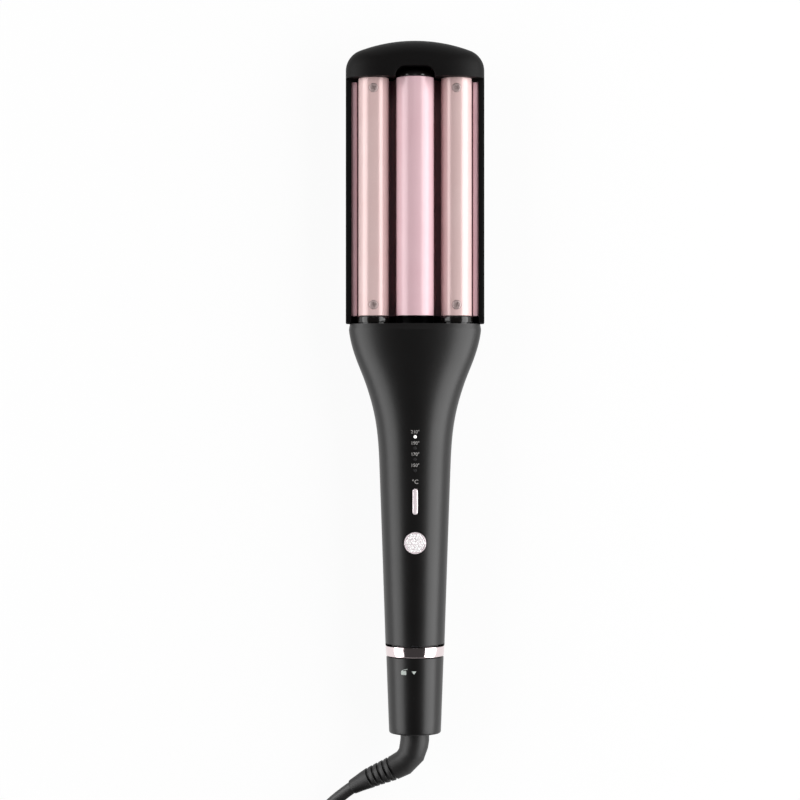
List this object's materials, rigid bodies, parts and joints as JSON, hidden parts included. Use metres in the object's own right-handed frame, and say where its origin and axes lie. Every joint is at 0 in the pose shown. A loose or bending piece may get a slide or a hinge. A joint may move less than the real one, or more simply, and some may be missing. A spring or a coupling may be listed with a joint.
{
  "type": "hair waver",
  "caption": "Two-arm hair waver: rear arm with a W-shaped heated plate, hinged front arm with heated barrels, press buttons, twist lock, swivel cord and plug.",
  "frame": {"origin": "on the surface that the tool lies on, under the middle of its box without the cord and plug", "axes": "+Y along the tool towards its tip, +Z from the rear arm up to the front arm, +X to the right seen from the front with the tip up"},
  "size_m": [0.1211, 0.518, 0.033],
  "materials": {
    "black_pc": "soft-touch black PC/ABS",
    "black_gloss": "glossy black heat-proof PPS",
    "inner_black": "moulded black PPS",
    "rose_ridge": "rose anodised and lacquered aluminium",
    "rose_barrel": "rose gold anodised aluminium",
    "bare_aluminium": "pressed bare aluminium",
    "heater_ceramic": "PTC heater in polyimide film",
    "steel": "zinc plated steel",
    "spring_steel": "spring steel wire",
    "rose_chrome": "rose-tinted chrome plate",
    "brass": "contact brass",
    "board_green": "glass-epoxy board",
    "component_black": "moulded electronic part",
    "led_white": "white LED",
    "lens_clear": "polycarbonate light pipe",
    "rose_button": "rose gold plated button",
    "crystal_button": "faceted plated crystal cap",
    "wire_silicone": "silicone insulated wire",
    "cord_rubber": "black PVC mains cord",
    "strain_rubber": "black TPE",
    "plug_black": "moulded PVC plug",
    "pin_nickel": "nickel plated brass"
  },
  "bodies": {
    "rear_arm": {"rear_handle_shell": "black_pc", "rear_inner_cover": "inner_black", "rear_cover_screws": "steel", "rear_head_housing": "black_pc", "wave_plate": "rose_ridge", "ridge_bottom_plug": "black_gloss", "ridge_top_plug": "black_gloss", "ridge_plug_screws": "steel", "ridge_saddle": "bare_aluminium", "ridge_heater": "heater_ceramic", "heater_clamp": "spring_steel", "hinge_bracket": "steel", "hinge_pin": "steel", "hinge_bracket_screws": "steel", "opening_spring": "spring_steel", "tail_core": "inner_black", "trim_ring": "rose_chrome", "contact_brushes": "brass", "retaining_clip": "spring_steel", "rear_lead_wires": "wire_silicone"},
    "front_arm": {"front_handle_shell": "black_pc", "front_inner_cover": "inner_black", "front_cover_screws": "steel", "front_collar": "black_gloss", "front_tip_cap": "black_gloss", "left_barrel": "rose_barrel", "right_barrel": "rose_barrel", "left_barrel_heater": "heater_ceramic", "right_barrel_heater": "heater_ceramic", "left_heater_saddles": "bare_aluminium", "right_heater_saddles": "bare_aluminium", "barrel_screws": "steel", "hinge_knuckle": "steel", "hinge_knuckle_screws": "steel", "control_board": "board_green", "board_screws": "steel", "board_parts": "component_black", "power_switch": "component_black", "temp_switch": "component_black", "indicator_leds": "led_white", "indicator_lenses": "lens_clear", "thermal_fuse": "component_black", "front_lead_wires": "wire_silicone"},
    "power_button": {"power_button": "crystal_button", "power_plunger": "component_black"},
    "temp_button": {"temp_button": "rose_button", "temp_plunger": "component_black"},
    "lock_collar": {"lock_collar": "black_pc"},
    "lock_slider": {"lock_slider": "inner_black"},
    "cord_swivel": {"swivel_bush": "inner_black", "contact_rings": "brass", "strain_relief": "strain_rubber", "power_cord": "cord_rubber", "cord_coil": "cord_rubber", "plug_lead": "cord_rubber", "plug_body": "plug_black", "plug_pins": "pin_nickel"}
  },
  "joints": [
    {"name": "arm_hinge", "type": "hinge", "parent": "rear_arm", "child": "front_arm", "pos_m": [0, -0.126, 0.024], "axis": [1, 0, 0], "range_deg": [0, 8], "deforming": ["opening_spring"]},
    {"name": "power_press", "type": "slide", "parent": "front_arm", "child": "power_button", "axis": [0, 0, -1], "range_m": [0, 0.0006], "stiffness_N_per_m": 1500, "springref_m": -0.0004},
    {"name": "temp_press", "type": "slide", "parent": "front_arm", "child": "temp_button", "axis": [0, 0, -1], "range_m": [0, 0.0006], "stiffness_N_per_m": 1500, "springref_m": -0.0004},
    {"name": "lock_twist", "type": "hinge", "parent": "rear_arm", "child": "lock_collar", "pos_m": [0, -0.16, 0.01545], "axis": [0, 1, 0], "range_deg": [0, 40]},
    {"name": "lock_slide", "type": "slide", "parent": "rear_arm", "child": "lock_slider", "axis": [0, -1, 0], "range_m": [0, 0.003]},
    {"name": "cord_swivel", "type": "hinge", "parent": "rear_arm", "child": "cord_swivel", "pos_m": [0, -0.16, 0.01545], "axis": [0, 1, 0], "continuous": true}
  ],
  "couplings": [
    {"joint": "lock_slide", "follows": "lock_twist", "m_per_rad": 0.004297}
  ]
}
